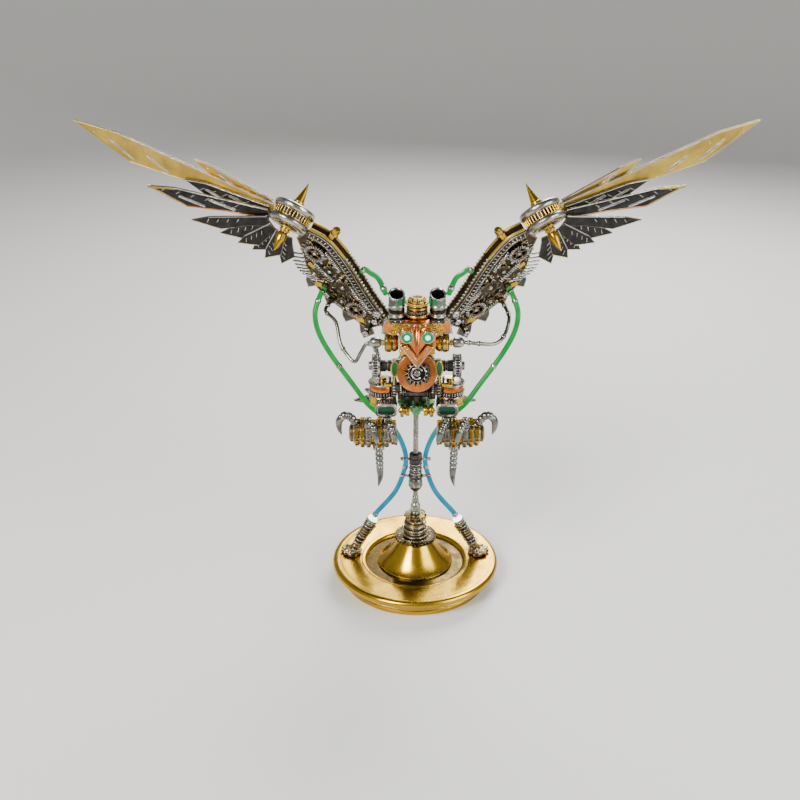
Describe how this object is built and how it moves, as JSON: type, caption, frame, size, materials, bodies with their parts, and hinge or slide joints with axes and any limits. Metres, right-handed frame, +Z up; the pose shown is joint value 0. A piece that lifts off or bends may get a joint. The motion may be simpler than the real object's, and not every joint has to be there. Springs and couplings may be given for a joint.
{
  "type": "scrap metal eagle sculpture",
  "caption": "Clockwork metal eagle with raised feather wings and curled talons, held by a slim pole on a turned brass dish, with glowing green light tubes.",
  "frame": {"origin": "centre of the dish's flat underside", "axes": "+Z up along the pole; -Y the way the bird faces; +X to the right as seen from the front, from wing tip to wing tip"},
  "size_m": [0.3778, 0.1301, 0.2797],
  "materials": {
    "polished_brass": "polished",
    "aged_bronze": "aged, satin",
    "copper": "polished copper plating",
    "silver_steel": "polished",
    "gunmetal": "blackened, satin",
    "green_glow": "translucent, lit from inside",
    "white_glow": "milky, lit from inside"
  },
  "bodies": {
    "root": {"base_dish": "polished_brass", "base_gear": "aged_bronze", "pole_foot_stack": "polished_brass", "pole_gear": "aged_bronze", "pole_lower": "silver_steel", "pole_collar": "gunmetal", "pole_rod": "silver_steel", "belly_gear": "aged_bronze", "torso": "gunmetal", "chest_disc": "copper", "chest_gear": "gunmetal", "head": "copper", "beak_plate": "copper", "crown_gear": "polished_brass", "tail_fan": "gunmetal", "lamp_holder_left": "aged_bronze", "lamp_holder_right": "aged_bronze", "lamp_bulb_left": "white_glow", "lamp_bulb_right": "white_glow", "light_tube_left": "green_glow", "light_tube_right": "green_glow", "crown_tube_left": "green_glow", "crown_tube_right": "green_glow", "silver_tube_left": "silver_steel", "silver_tube_right": "silver_steel", "hip_drum_left": "polished_brass", "hip_drum_right": "polished_brass", "side_wheel_left": "silver_steel", "side_wheel_right": "silver_steel", "leg_frame_left": "silver_steel", "leg_frame_right": "silver_steel", "hip_knob_left": "polished_brass", "hip_knob_right": "polished_brass", "talon_left": "polished_brass", "talon_right": "polished_brass", "eye_left": "white_glow", "eye_right": "white_glow", "goggle_left": "silver_steel", "goggle_right": "silver_steel", "ear_left": "polished_brass", "ear_right": "polished_brass", "wing_arm_left": "aged_bronze", "wing_arm_right": "aged_bronze", "wing_hub_left": "silver_steel", "wing_hub_right": "silver_steel", "rear_fan_left": "gunmetal", "rear_fan_right": "gunmetal", "long_feather_left": "polished_brass", "long_feather_right": "polished_brass", "second_feather_left": "polished_brass", "second_feather_right": "polished_brass", "third_feather_left": "aged_bronze", "third_feather_right": "aged_bronze", "upper_feather_left": "polished_brass", "upper_feather_right": "polished_brass", "arm_feathers_left": "gunmetal", "arm_feathers_right": "gunmetal"}
  },
  "joints": []
}
